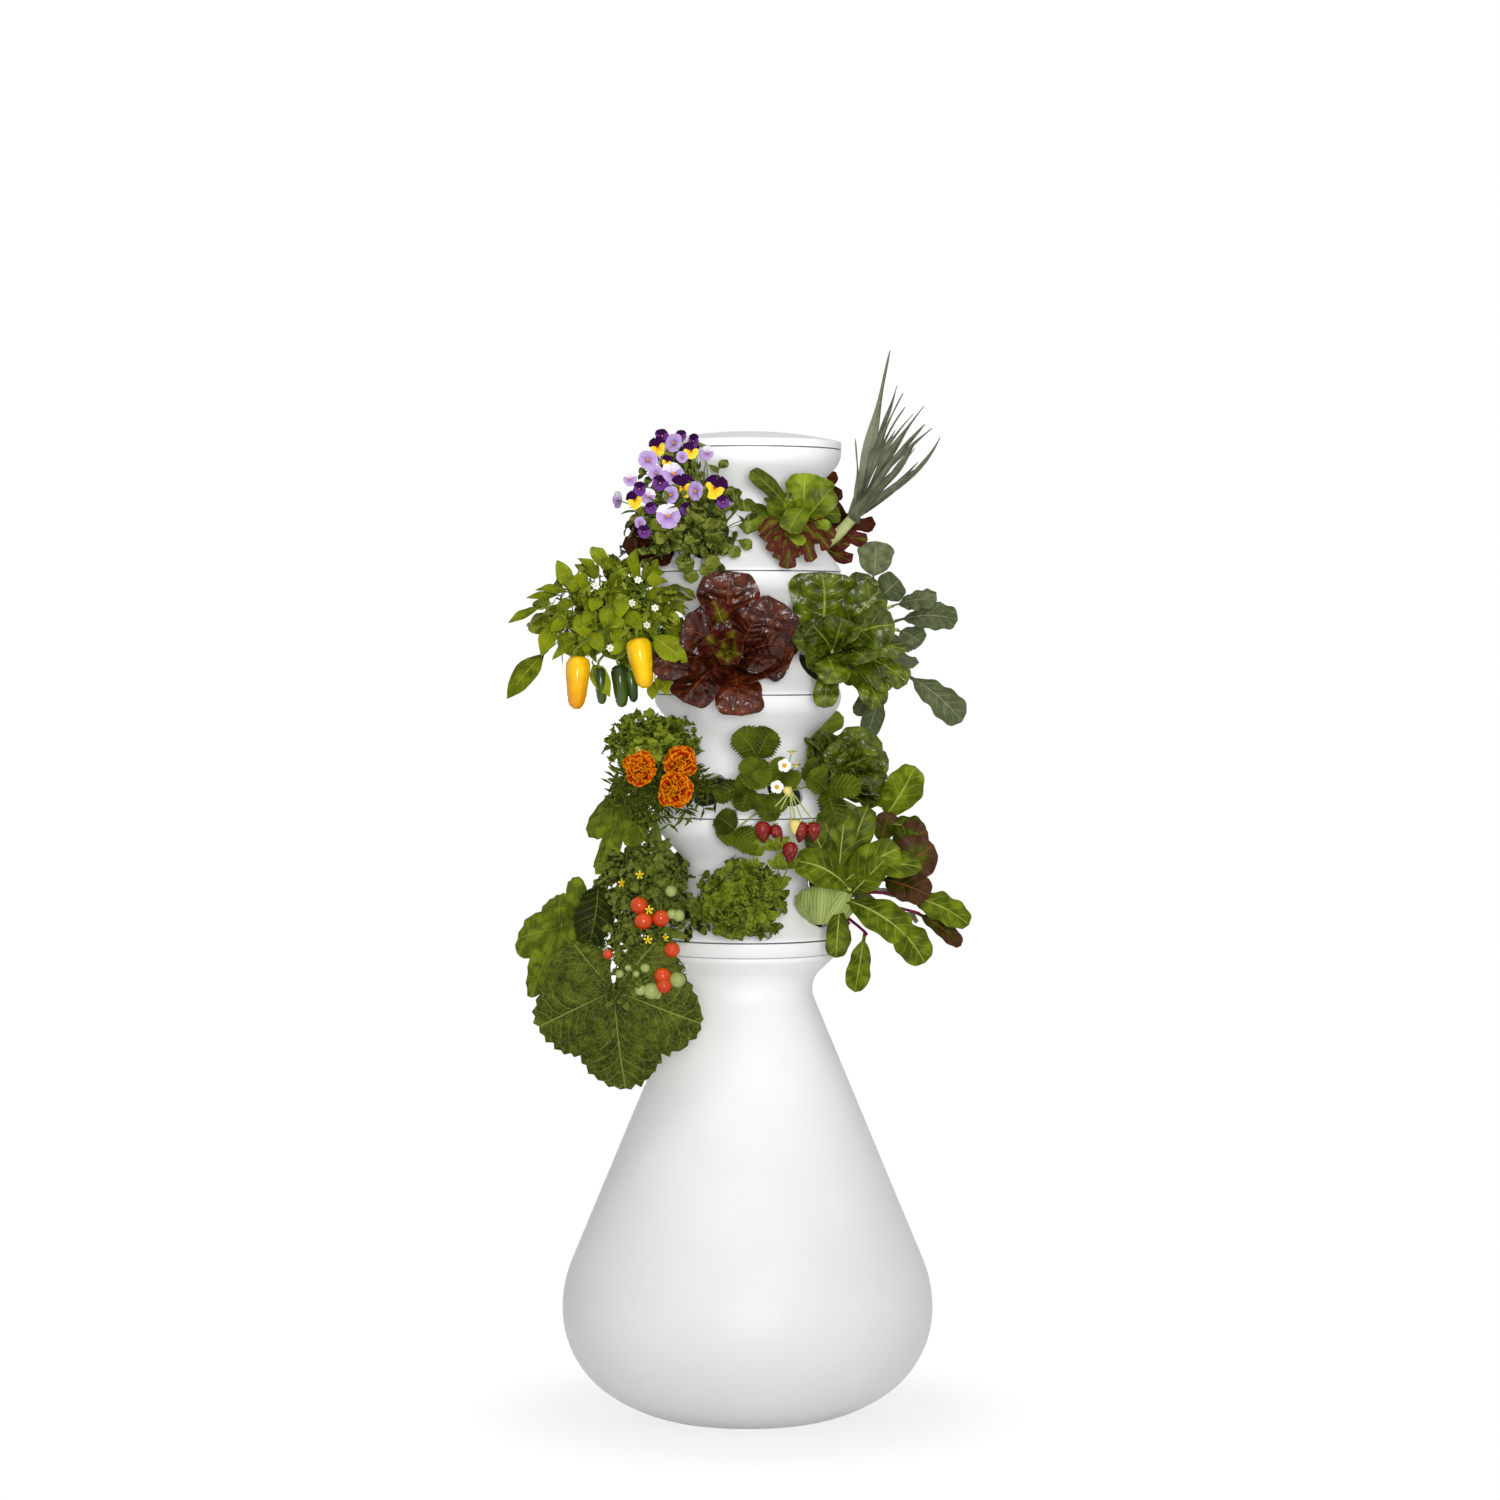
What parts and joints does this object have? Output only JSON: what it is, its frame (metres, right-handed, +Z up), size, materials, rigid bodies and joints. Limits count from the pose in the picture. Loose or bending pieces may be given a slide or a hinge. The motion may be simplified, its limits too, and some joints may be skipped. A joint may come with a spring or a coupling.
{
  "type": "hydroponic tower",
  "caption": "Flask-shaped white reservoir carrying a turning stack of hourglass planting tiers with angled ports, net cups, a pumped riser and a lid, planted with vegetables, herbs and flowers.",
  "frame": {"origin": "centre of the reservoir's flat sole, on the floor under the tower's axis", "axes": "+Z up along the tower's axis; -Y is the front of the picture and +X its right"},
  "size_m": [0.6294, 0.52, 1.4795],
  "materials": {
    "white_plastic": "satin moulded plastic",
    "black_plastic": "moulded plastic",
    "grey_plastic": "moulded plastic",
    "pipe_plastic": "drawn pipe",
    "growing_medium": "damp fibre block",
    "steel": "ground",
    "rubber": "moulded",
    "leaf_green": "living leaf",
    "leaf_dark_green": "living leaf",
    "leaf_grey_green": "living leaf",
    "leaf_red": "living leaf"
  },
  "bodies": {
    "base": {"reservoir": "white_plastic", "collar_ring": "white_plastic", "cord_grommet": "rubber", "pump_body": "grey_plastic", "pump_strainer": "black_plastic", "impeller_shaft": "steel", "pump_feet": "rubber", "riser_lower": "pipe_plastic", "riser_tube_1": "pipe_plastic", "riser_tube_2": "pipe_plastic", "riser_tube_3": "pipe_plastic", "riser_tube_4": "pipe_plastic", "riser_couplers": "pipe_plastic", "spray_cap": "pipe_plastic"},
    "tower": {"tier_1": "white_plastic", "tier_2": "white_plastic", "tier_3": "white_plastic", "tier_4": "white_plastic", "drip_plate_1": "white_plastic", "drip_plate_2": "white_plastic", "drip_plate_3": "white_plastic", "drip_plate_4": "white_plastic", "net_cups_1": "black_plastic", "net_cups_2": "black_plastic", "net_cups_3": "black_plastic", "net_cups_4": "black_plastic", "grow_plugs_1": "growing_medium", "grow_plugs_2": "growing_medium", "grow_plugs_3": "growing_medium", "grow_plugs_4": "growing_medium", "viola": "leaf_grey_green", "mixed_lettuce": "leaf_green", "leek": "leaf_grey_green", "red_oak_lettuce": "leaf_red", "basil": "leaf_green", "dark_red_lettuce": "leaf_red", "pepper": "leaf_green", "red_romaine": "leaf_red", "green_romaine": "leaf_dark_green", "kale": "leaf_grey_green", "butterhead": "leaf_green", "parsley": "leaf_green", "marigold": "leaf_green", "strawberry": "leaf_dark_green", "spinach": "leaf_dark_green", "chard": "leaf_dark_green", "green_lettuce": "leaf_green", "squash": "leaf_dark_green", "tomato": "leaf_dark_green", "mint": "leaf_green", "bok_choy": "leaf_green", "purple_chard": "leaf_dark_green", "curly_kale": "leaf_grey_green", "small_romaine": "leaf_green"},
    "lid": {"lid": "white_plastic"},
    "fill_plug": {"fill_plug": "rubber"},
    "impeller": {"pump_impeller": "grey_plastic"}
  },
  "joints": [
    {"name": "tower_turn", "type": "hinge", "parent": "base", "child": "tower", "pos_m": [0, 0, 0.666], "axis": [0, 0, 1], "continuous": true},
    {"name": "lid_lift", "type": "slide", "parent": "tower", "child": "lid", "axis": [0, 0, 1], "range_m": [0, 0.15]},
    {"name": "plug_pull", "type": "slide", "parent": "base", "child": "fill_plug", "axis": [0, 0.9232, 0.3843], "range_m": [0, 0.06]},
    {"name": "impeller_spin", "type": "hinge", "parent": "base", "child": "impeller", "pos_m": [0, -0.022, 0.046], "axis": [0, 1, 0], "continuous": true}
  ]
}
